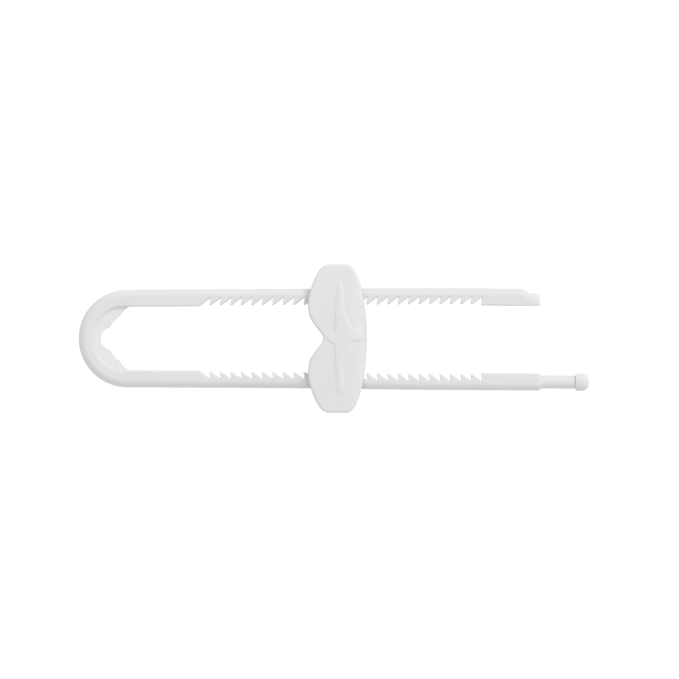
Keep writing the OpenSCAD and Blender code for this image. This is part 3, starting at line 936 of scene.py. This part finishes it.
tree = bar_plastic.node_tree
web_place = tree.nodes.new("ShaderNodeTexCoord")
web_apart = tree.nodes.new("ShaderNodeVectorMath")
web_apart.operation = "SUBTRACT"
web_apart.inputs[1].default_value = (BEND_X / PER_METRE, 0, 0)
web_flat = tree.nodes.new("ShaderNodeVectorMath")
web_flat.operation = "MULTIPLY"
web_flat.inputs[1].default_value = (1, 1, 0)
web_reach = tree.nodes.new("ShaderNodeVectorMath")
web_reach.operation = "LENGTH"
web_lit_share = tree.nodes.new("ShaderNodeMapRange")
web_lit_share.inputs["From Min"].default_value = ARM_IN / PER_METRE
web_lit_share.inputs["From Max"].default_value = (ARM_IN + WEB_SOFT) / PER_METRE
web_lit_share.inputs["To Min"].default_value = 1
web_lit_share.inputs["To Max"].default_value = 0
bar_shader = next(node for node in tree.nodes if node.type == "BSDF_PRINCIPLED")
bar_tone = bar_shader.inputs["Base Color"].links[0].from_node
# Painted light: the web's share mixes the bar's tone towards the paler, lit white of the web.
web_lit_tone = two_tone(tree, web_lit_share, "Result", WHITE, WEB_LIT_WHITE)
join_up(
    tree,
    (web_place, "Object", web_apart, 0),
    (web_apart, 0, web_flat, 0),
    (web_flat, 0, web_reach, 0),
    (web_reach, "Value", web_lit_share, "Value"),
    (bar_tone, 2, web_lit_tone, 6),
    (web_lit_tone, 2, bar_shader, "Base Color"),
)
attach(bar, "u_bar")
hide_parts("u_bar")


# Front cover
# The slider's front moulding, white and a little smoother than the bar: a notched wing with a
# domed face, rolled edges and a raised four-pointed star, and pegs behind. Modelled as one grid
# for the front and one for the back, each laid out along the outline and the star.
SLIDER_X = 1.421
HALF_L = 25.45
WING_REACH = 10.3
BACK_REACH = 9.9
SEAT_Z = 9.9
COVER_EDGE_T = 1.9
COVER_WALL = 2.2
COVER_RIM = 1.4
DOME_RISE = 0.9
EDGE_ROUND = 0.9
FALL_X = 3.6
FALL_BEND = 0.032
SHOULDER_X = 7.7
SHOULDER_FALL = 0.5
WING_X = -2.4
WING_RISE = 0.004
STEEPEST = 0.55
PROBE = HALF_L / 200
SLIDER_SMOOTH = 30
# The wing's reach to the left and to the right as a share of the widest, by how far along
# its half length.
LEFT_SHARES = [
    (0, 0.49), (0.054, 0.532), (0.108, 0.633), (0.162, 0.733), (0.216, 0.83), (0.27, 0.915),
    (0.35, 0.968), (0.46, 1), (0.57, 0.975), (0.674, 0.9), (0.755, 0.833), (0.809, 0.775),
    (0.863, 0.71), (0.916, 0.633), (0.955, 0.55), (0.985, 0.44), (1, 0.34),
]
RIGHT_SHARES = [
    (0, 1), (0.216, 0.985), (0.35, 0.955), (0.54, 0.89), (0.674, 0.816), (0.755, 0.764),
    (0.809, 0.712), (0.863, 0.66), (0.916, 0.585), (0.955, 0.51), (0.985, 0.42), (1, 0.32),
]


def curve_at(table, t):
    """Smooth curve through the points of a table, by its first column."""
    last = len(table) - 1
    i = next((k for k in range(last) if t <= table[k + 1][0]), last - 1)

    def slope(k):
        if k == 0:
            return 0
        a, b = table[k - 1], table[min(k + 1, last)]
        return (b[1] - a[1]) / (b[0] - a[0])

    width = table[i + 1][0] - table[i][0]
    u = clamp01((t - table[i][0]) / width)
    return (
        (2 * u**3 - 3 * u**2 + 1) * table[i][1]
        + (u**3 - 2 * u**2 + u) * width * slope(i)
        + (3 * u**2 - 2 * u**3) * table[i + 1][1]
        + (u**3 - u**2) * width * slope(i + 1)
    )


def left_x(y):
    return -WING_REACH * curve_at(LEFT_SHARES, abs(y) / HALF_L)


def right_x(y):
    return BACK_REACH * curve_at(RIGHT_SHARES, abs(y) / HALF_L)


def steepness(edge, y):
    """Distance to an edge as a share of the distance along X."""
    y = min(abs(y), HALF_L - PROBE)
    return 1 / math.hypot(1, (edge(y + PROBE) - edge(y)) / PROBE)


def inside(x, y):
    return min(
        (x - left_x(y)) * steepness(left_x, y),
        (right_x(y) - x) * steepness(right_x, y),
        HALF_L - abs(y),
    )


# The star's long arm runs along the wing and flares to the right round its middle.
STAR_X = 0.69
STAR_H = 0.33
STAR_END = 18.9
STAR_HALF = 1.37
STAR_LEFT = 4.25
STAR_RIGHT = 7.3
FLARE_FROM = 9.8
FLARE_SLOPE = 0.42
FLARE_W = 2.7
PLAIN_FLANK = 0.9
FLARE_FLANK = 1.2
SOFT_FLANK = 2.4
END_FLANK = 2
# The long arm thins towards its tips, and on the left it widens a little in the middle.
TIP_THIN = 0.7
TIP_FROM = 16.2
TIP_FADE = 2.6
SWELL = 0.5
SWELL_FROM = 11.5
SWELL_FADE = 3
RIDGE_TOP = 0.06
SOFT_FADE = 3
FLARE_FADE = 1.5
# The short arms: the left one is a spike, the right one slopes off gently towards +Y and
# steeply towards -Y.
SPIKE_TIP = 0.1
SPIKE_ROOT = 1.5
SPIKE_FROM = 1.8
SPIKE_FLANK = 0.7
SPIKE_END = 0.35
RIGHT_UP = 0.45
RIGHT_UP_FLANK = 3.4
RIGHT_DOWN = 0.05
RIGHT_DOWN_FLANK = 0.9
RIGHT_END = 0.7


def star_w(y, side):
    """Half width of the star's long arm on one side, out to its foot."""
    tip = STAR_HALF - TIP_THIN * smooth((abs(y) - TIP_FROM) / TIP_FADE)
    if side < 0:
        return tip + SWELL * smooth((SWELL_FROM - abs(y)) / SWELL_FADE)
    return tip + min(FLARE_W, FLARE_SLOPE * max(0, FLARE_FROM - abs(y)))


def flank_w(y, side):
    """Width of the arm's flank: a rounded ridge at the ends, with a flat top in the middle."""
    ridge = star_w(y, side) - RIDGE_TOP
    if side < 0:
        return lerp(ridge, PLAIN_FLANK, smooth((SWELL_FROM - abs(y)) / SWELL_FADE))
    flared = lerp(FLARE_FLANK, SOFT_FLANK, smooth(-y / SOFT_FADE))
    return lerp(ridge, min(ridge, flared), smooth((FLARE_FROM - abs(y)) / FLARE_FADE))


def star(x, y):
    side = 1 if x > STAR_X else -1
    off = abs(x - STAR_X)
    long_arm = min((star_w(y, side) - off) / flank_w(y, side), (STAR_END - abs(y)) / END_FLANK)
    if side < 0:
        half = lerp(SPIKE_TIP, SPIKE_ROOT, (STAR_LEFT - off) / (STAR_LEFT - SPIKE_FROM))
        short_arm = min((half - abs(y)) / SPIKE_FLANK, (STAR_LEFT - off) / SPIKE_END)
    else:
        edge = (RIGHT_UP - y) / RIGHT_UP_FLANK if y > 0 else (y + RIGHT_DOWN) / RIGHT_DOWN_FLANK
        short_arm = min(edge, (STAR_RIGHT - off) / RIGHT_END)
    t = clamp01(max(long_arm, 1 + short_arm))
    return STAR_H * (1 - (1 - t) ** 2)


def skin_z(x, y):
    """Front of the cover without its star: dome, rolled edges and a side that falls away."""
    near = EDGE_ROUND - min(EDGE_ROUND, max(0, inside(x, y)))
    rolled = EDGE_ROUND - math.sqrt(EDGE_ROUND**2 - near**2)
    fall = FALL_BEND * max(0, x - FALL_X) ** 2 - WING_RISE * max(0, WING_X - x) ** 2
    fall += SHOULDER_FALL * smooth((x - SHOULDER_X) / (BACK_REACH - SHOULDER_X))
    return SEAT_Z + COVER_EDGE_T + DOME_RISE * (1 - (y / HALF_L) ** 2) - rolled - fall


def back_z(x, y):
    """Back of the cover: a flat rim and a shallow hollow inside it."""
    hollow = max(0, skin_z(x, y) - COVER_WALL - SEAT_Z)
    return SEAT_Z + hollow * smooth(inside(x, y) / COVER_RIM - 1)


EDGE_STEPS = [0, 0.03, 0.11, 0.24, 0.42, 0.68, 1]
FLANK_STEPS = [0, 0.25, 0.5, 0.75, 1]
PLAIN_STEPS = 12
FOOT_MOST = 0.7
STAR_ROW = 0.15
STAR_ROWS = 18
END_ROWS = 44


def half_row(edge, y, side):
    """Distances from the star's spine of the grid's columns on one side, outwards."""
    room = abs(edge(y) - STAR_X)
    roll = EDGE_ROUND / max(STEEPEST, steepness(edge, y))
    flat = room - roll
    foot = min(star_w(y, side), FOOT_MOST * flat)
    top = foot * (1 - flank_w(y, side) / star_w(y, side))
    row = [lerp(top, foot, t) for t in FLANK_STEPS]
    row += [lerp(foot, flat, k / PLAIN_STEPS) for k in range(1, PLAIN_STEPS)]
    return row + [room - roll * t for t in reversed(EDGE_STEPS)]


def grid_rows():
    half = [STAR_ROW * k for k in range(STAR_ROWS)]
    half += [lerp(half[-1], HALF_L - EDGE_ROUND, k / END_ROWS) for k in range(1, END_ROWS)]
    half += [HALF_L - EDGE_ROUND * t for t in reversed(EDGE_STEPS)]
    return [-y for y in reversed(half[1:])] + half


def wing_places():
    places = []
    for y in grid_rows():
        lefts = [STAR_X - d for d in reversed(half_row(left_x, y, -1))]
        rights = [STAR_X + d for d in half_row(right_x, y, 1)]
        places.append([(x, y) for x in lefts + [STAR_X] + rights])
    return places


def laid_grid(name, places, height):
    """A grid with its vertices laid on a table of places, at heights by a formula."""
    rows, columns = len(places), len(places[0])
    bpy.ops.object.select_all(action="DESELECT")
    bpy.ops.mesh.primitive_grid_add(x_subdivisions=columns - 1, y_subdivisions=rows - 1, size=2)
    piece = named(name)
    for v in piece.data.vertices:
        i = round((v.co.x + 1) / 2 * (columns - 1))
        j = round((v.co.y + 1) / 2 * (rows - 1))
        x, y = places[j][i]
        v.co = (x, y, height(x, y))
    return piece


def block(name, x, half, y_span, z_span):
    """A block to both sides of x, over a span along Y and one along Z."""
    low, high = zip((x - half, x + half), y_span, z_span)
    bpy.ops.object.select_all(action="DESELECT")
    middle = [(a + b) / 2 for a, b in zip(low, high)]
    bpy.ops.mesh.primitive_cube_add(size=1, location=middle)
    piece = named(name)
    piece.scale = [b - a for a, b in zip(low, high)]
    bpy.ops.object.transform_apply(location=True, rotation=True, scale=True)
    return piece


ROD_SIDES = 32


def rod(name, start, radius, length, upright=True, sides=ROD_SIDES):
    """A round rod from a point along +Z, or along +Y."""
    bpy.ops.object.select_all(action="DESELECT")
    way = Vector((0, 0, 1)) if upright else Vector((0, 1, 0))
    turn = (0, 0, 0) if upright else (-math.pi / 2, 0, 0)
    middle = Vector(start) + way * length / 2
    bpy.ops.mesh.primitive_cylinder_add(
        vertices=sides, radius=radius, depth=length, location=middle, rotation=turn
    )
    piece = named(name)
    bpy.ops.object.transform_apply(location=True, rotation=True, scale=True)
    return piece


def other_end(piece, name):
    """A mirrored copy of a piece for the slider's lower end."""
    twin = bpy.data.objects.new(name, piece.data.copy())
    twin.data.name = name
    bpy.context.collection.objects.link(twin)
    open_mesh(twin)
    swap_sides()
    turn_out()
    close_mesh()
    return twin


# Where the arms and the pawls pass, which the cover's pegs have to miss.
ARM_Y = 14.18
TUNNEL_IN = 10.75
TUNNEL_OUT = 17.61
PAWL_C = -1.071
PAWL_W = 7
EAR_REACH = 1.2
PAD_W = 8.4
PEG_R = 1
END_PEG_R = 0.7
PEG_L = 4.5
PEG_PLAY = 0.05
PEG_ROUND = 0.25
PEG_BITE = 1.1
RIM_ROUND = 0.15
RIM_TURNS = 2
NEAR_RIM = 0.001
GAP = 0.2
WALL_T = 1
peg_end_y = TUNNEL_OUT + 2 * END_PEG_R + PEG_PLAY
peg_inner_y = TUNNEL_IN - WALL_T - 2 * PEG_R
UPPER_PEGS = [
    ((PAWL_C - PAWL_W / 2 - EAR_REACH - WING_REACH) / 2, peg_inner_y, PEG_R),
    ((PAWL_C + PAWL_W / 2 + EAR_REACH + BACK_REACH) / 2, peg_inner_y, PEG_R),
    ((left_x(peg_end_y) - PAD_W / 2) / 2, peg_end_y, END_PEG_R),
    ((right_x(peg_end_y) + PAD_W / 2) / 2, peg_end_y, END_PEG_R),
]
PEGS = UPPER_PEGS + [(x, -y, r) for x, y, r in UPPER_PEGS]

places = wing_places()
cover = laid_grid("slider_cover", places, lambda x, y: skin_z(x, y) + star(x, y))
cover_back = laid_grid("cover_back", places, back_z)
open_mesh(cover_back)
pick_all()
bpy.ops.mesh.flip_normals()
close_mesh()
cover = joined("slider_cover", [cover, cover_back])
open_mesh(cover)
pick(lambda e: e.is_boundary, "EDGE")
bpy.ops.mesh.bridge_edge_loops()


def on_rim(edge):
    places = [v.co for v in edge.verts]
    return all(p.z < SEAT_Z + FINE and inside(p.x, p.y) < NEAR_RIM for p in places)


round_edges(on_rim, RIM_ROUND, RIM_TURNS, clamp=True)
close_mesh()
for x, y, r in PEGS:
    peg = rod("peg", (x, y, SEAT_Z - PEG_L), r, PEG_L + back_z(x, y) - SEAT_Z + PEG_BITE)
    open_mesh(peg)
    round_edges(lambda e: all(v.co.z < SEAT_Z - PEG_L + FINE for v in e.verts), PEG_ROUND, 2)
    close_mesh()
    unite(cover, peg)
settle(cover, SLIDER_X)
dress(cover, SLIDER_SMOOTH, slider_plastic)
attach(cover, "slider")
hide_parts("front_cover")

# Back housing
# The slider's back moulding, in the same white plastic: a deep tray in the cover's outline with
# a tunnel for each arm, a room for each button and a middle rib with studs for the springs.
FLOOR_T = 1.6
PARTING_STEP = 0.3
TUNNEL_Z = 3.2
TUNNEL_REACH = 20
EAR_IN = 6.95
EAR_T = 2.6
PRESS_TRAVEL = 2.4
PAD_OUT = 24.95
PAD_IN = 20.2
BRIDGE_W = 6
SPRING_D = 3.8
SPRING_Z = 5.75
RIB_T = 0.988
STUD_R = 1.25
STUD_L = 1
BACK_ROUND = 0.6
BACK_TURNS = 4
MOUTH_ROUND = 0.3
MOUTH_SHARP = 0.5
MOUTH_LEAST = 2
CHAMBER_IN = EAR_IN - PRESS_TRAVEL - GAP
# Room for the lower arm, which has sprung outwards, where the slider nears the free ends.
SPRUNG_ROOM = 0.18
WALL_OUT = TUNNEL_OUT + SPRUNG_ROOM
OUTLINE_STEPS = 48


def outline(inset):
    """The slider's outline moved in by an inset, anticlockwise from the lower right end."""
    turns = [math.pi / 2 * k / OUTLINE_STEPS for k in range(OUTLINE_STEPS + 1)]
    half_ys = [HALF_L * math.sin(turn) for turn in turns]
    ys = [-y for y in reversed(half_ys[1:])] + half_ys
    shrink = (HALF_L - inset) / HALF_L
    places = []
    for edge, side, order in ((right_x, -1, ys), (left_x, 1, list(reversed(ys)))):
        for y in order:
            moved = edge(y) + side * inset / max(STEEPEST, steepness(edge, y))
            places.append((moved, y * shrink))
    return places


housing = prism("slider_housing", outline(PARTING_STEP), 0, SEAT_Z)
open_mesh(housing)
for level, radius, turns in ((0, BACK_ROUND, BACK_TURNS), (SEAT_Z, RIM_ROUND, RIM_TURNS)):
    round_edges(
        lambda e: all(abs(v.co.z - level) < FINE for v in e.verts), radius, turns, clamp=True
    )
close_mesh()

OVER = 1
top = SEAT_Z + OVER
ear_half = PAWL_W / 2 + EAR_REACH + GAP
neck_half = PAWL_W / 2 + GAP
strip_half = BRIDGE_W / 2 + GAP
pocket_r = SPRING_D / 2 + GAP
pad_half = PAD_W / 2 + GAP
pad_from = PAD_IN - PRESS_TRAVEL - GAP
deep = (FLOOR_T, top)
rooms = [
    block("tunnel", 0, TUNNEL_REACH, (TUNNEL_IN, WALL_OUT), (TUNNEL_Z, top)),
    block("ear_room", PAWL_C, ear_half, (CHAMBER_IN, TUNNEL_IN - WALL_T), deep),
    block("neck_room", PAWL_C, neck_half, (CHAMBER_IN, TUNNEL_IN + OVER), deep),
    block("strip_room", PAWL_C, strip_half, (CHAMBER_IN, PAD_OUT), deep),
    block("pad_room", 0, pad_half, (pad_from, 2 * HALF_L), deep),
    rod("pocket", (PAWL_C, RIB_T, SPRING_Z), pocket_r, CHAMBER_IN + OVER - RIB_T, upright=False),
    block("pocket_top", PAWL_C, pocket_r, (RIB_T, CHAMBER_IN + OVER), (SPRING_Z, top)),
]
for x, y, r in UPPER_PEGS:
    rooms.append(rod("peg_hole", (x, y, SEAT_Z - PEG_L - GAP), r + PEG_PLAY, SEAT_Z))
cutter = rooms[0]
unite(cutter, *rooms[1:])
cutter_below = other_end(cutter, "cutter_below")
unite(housing, cutter, cutter_below, operation="DIFFERENCE")
open_mesh(housing)


def at_mouth(edge):
    """Whether an edge runs round the mouth of a tunnel, where it leaves the housing's wall."""
    near = all(inside(v.co.x, v.co.y) < 2 * PARTING_STEP for v in edge.verts)
    a, b = (v.co for v in edge.verts)
    if not near or edge.calc_face_angle(0) < MOUTH_SHARP or min(a.z, b.z) < TUNNEL_Z - FINE:
        return False
    low = max(abs(a.z - TUNNEL_Z), abs(b.z - TUNNEL_Z)) < FINE
    sides = (TUNNEL_IN, WALL_OUT)
    upright = any(max(abs(abs(a.y) - y), abs(abs(b.y) - y)) < FINE for y in sides)
    return low or upright and abs(a.z - b.z) > MOUTH_LEAST


round_edges(at_mouth, MOUTH_ROUND, 3, clamp=True)
tidy_faces()
close_mesh()
stud_end = RIB_T + STUD_L
stud = rod("stud", (PAWL_C, -stud_end, SPRING_Z), STUD_R, 2 * stud_end, upright=False)
unite(housing, stud)

# Marks of the mould's pins in the back, and the dot where the plastic went in.
PIN_MARK_R = 1.5
PIN_MARK_DEEP = 0.15
PIN_MARKS = [(-5.2, 13), (-5.2, -13), (5.4, 8), (5.4, -8)]
GATE_R = 0.9
marks = [
    rod("pin_mark", (x, y, -OVER), PIN_MARK_R, OVER + PIN_MARK_DEEP) for x, y in PIN_MARKS
]
marks.append(rod("gate_ring", (0, 0, -OVER), 2 * GATE_R, OVER + 2 * PIN_MARK_DEEP))
unite(marks[0], *marks[1:])
unite(housing, marks[0], operation="DIFFERENCE")
gate = rod("gate", (0, 0, PIN_MARK_DEEP), GATE_R, 2 * PIN_MARK_DEEP)
unite(housing, gate)
open_mesh(housing)
tidy_faces()
close_mesh()
settle(housing, SLIDER_X)
dress(housing, SLIDER_SMOOTH, slider_plastic)
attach(housing, "slider")
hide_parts("back_housing")

# Buttons
# One moulding for each end, in the same white plastic: a pad with grip ribs, a strip that
# passes behind the arm, and a pawl with two teeth and a stud for its spring.
BUTTON_LOW = FLOOR_T + GAP
BUTTON_TOP = SEAT_Z - GAP
BRIDGE_T = 1.4
PAD_ROUND = 0.8
PAD_TURNS = 6
ARM_INSIDE = ARM_Y - ARM_W / 2
BACK_OUT = 0.48
PAWL_FLAT = 0.3
BITE = 1
PAD_EDGE = 0.25
PART_EDGE = 0.12
SHARP = 32
GRIP_COUNT = 5
GRIP_PITCH = 1.4
GRIP_R = 0.35
GRIP_RISE = 0.3
GRIP_END = 1
GRIP_ROUND = 0.25
GRIP_SIDES = 16

full = (BUTTON_LOW, BUTTON_TOP)
pad = block("upper_release_button", 0, PAD_W / 2, (PAD_IN, PAD_OUT), full)
open_mesh(pad)
round_edges(
    lambda e: all(v.co.y > PAD_OUT - FINE for v in e.verts)
    and abs(e.verts[0].co.z - e.verts[1].co.z) > 1,
    PAD_ROUND,
    PAD_TURNS,
)
close_mesh()
neck_out = ARM_INSIDE - BACK_OUT
ears_half = PAWL_W / 2 + EAR_REACH
thin = (BUTTON_LOW, BUTTON_LOW + BRIDGE_T)
parts = [
    block("strip", PAWL_C, BRIDGE_W / 2, (EAR_IN, PAD_IN + BITE), thin),
    block("ears", PAWL_C, ears_half, (EAR_IN, EAR_IN + EAR_T), full),
    block("neck", PAWL_C, PAWL_W / 2, (EAR_IN, neck_out), full),
]
for n in (0, 1):
    face = PAWL_C + PAWL_W / 2 - n * TOOTH_PITCH
    root = neck_out + TIP_SET
    tip_y = root + TOOTH_DEPTH * (run - PAWL_FLAT) / (run + TOOTH_HOOK)
    foot_x = max(face - run, PAWL_C - PAWL_W / 2)
    points = [(foot_x, neck_out - BITE), (foot_x, root), (face - PAWL_FLAT, tip_y)]
    points += [(face, tip_y), (face, neck_out - BITE)]
    parts.append(prism("pawl_tooth", points, TUNNEL_Z + GAP, BUTTON_TOP))
stud_from = (PAWL_C, EAR_IN - STUD_L, SPRING_Z)
parts.append(rod("spring_stud", stud_from, STUD_R, STUD_L + BITE, upright=False))
for part, width in [(pad, PAD_EDGE)] + [(part, PART_EDGE) for part in parts]:
    take_modifier(
        part,
        "BEVEL",
        limit_method="ANGLE",
        angle_limit=math.radians(SHARP),
        width=width,
        segments=3,
        use_clamp_overlap=True,
    )
unite(pad, *parts)
grip_y = PAD_OUT + GRIP_RISE - GRIP_R
grip_l = BUTTON_TOP - BUTTON_LOW - 2 * GRIP_END
for k in range(GRIP_COUNT):
    x = (k - (GRIP_COUNT - 1) / 2) * GRIP_PITCH
    grip = rod("grip", (x, grip_y, BUTTON_LOW + GRIP_END), GRIP_R, grip_l, sides=GRIP_SIDES)
    open_mesh(grip)
    round_edges(lambda e: abs(e.verts[0].co.z - e.verts[1].co.z) < FINE, GRIP_ROUND, 3)
    close_mesh()
    unite(pad, grip)
open_mesh(pad)
pick_all()
bpy.ops.mesh.fill_holes(sides=3)
tidy_faces()
close_mesh()
lower_button = other_end(pad, "lower_release_button")
for button, body in ((pad, "upper_button"), (lower_button, "lower_button")):
    settle(button, SLIDER_X)
    dress(button, SLIDER_SMOOTH, button_plastic)
    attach(button, body)
    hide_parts(body)

# Springs
# Coils of drawn steel wire with closed end turns, each between the housing's rib and a pawl.
# Modelled as a strip of grid rolled into a long tube and wound up.
WIRE_D = 0.45
TURNS = 5
TURN_STEPS = 32
WIRE_SIDES = 12
SEAM = 0.001
SPRING_SMOOTH = 40
SPRING_L = EAR_IN - RIB_T
CLOSED = 1.15 * WIRE_D
open_pitch = (SPRING_L - WIRE_D - 2 * CLOSED) / (TURNS - 2)


def coil_y(t):
    if t < 1:
        return WIRE_D / 2 + CLOSED * t
    if t > TURNS - 1:
        return SPRING_L - WIRE_D / 2 - CLOSED * (TURNS - t)
    return WIRE_D / 2 + CLOSED + open_pitch * (t - 1)


bpy.ops.object.select_all(action="DESELECT")
bpy.ops.mesh.primitive_grid_add(
    x_subdivisions=TURNS * TURN_STEPS, y_subdivisions=WIRE_SIDES, size=2
)
upper_spring = named("upper_coil")
for v in upper_spring.data.vertices:
    t = (v.co.x + 1) / 2 * TURNS
    b = (v.co.y + 1) * math.pi
    reach = (SPRING_D - WIRE_D) / 2 + WIRE_D / 2 * math.cos(b)
    v.co = (
        PAWL_C + reach * math.cos(2 * math.pi * t),
        RIB_T + coil_y(t) + WIRE_D / 2 * math.sin(b),
        SPRING_Z + reach * math.sin(2 * math.pi * t),
    )
open_mesh(upper_spring)
pick_all()
bpy.ops.mesh.remove_doubles(threshold=SEAM)
bpy.ops.mesh.fill_holes(sides=0)
turn_out()
close_mesh()
lower_spring = other_end(upper_spring, "lower_coil")
for coil, name, way in ((upper_spring, "upper", 1), (lower_spring, "lower", -1)):
    settle(coil, SLIDER_X)
    dress(coil, SPRING_SMOOTH, spring_steel)
    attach(coil, "slider")
    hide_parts(name + "_spring")
    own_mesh(coil)

low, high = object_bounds()
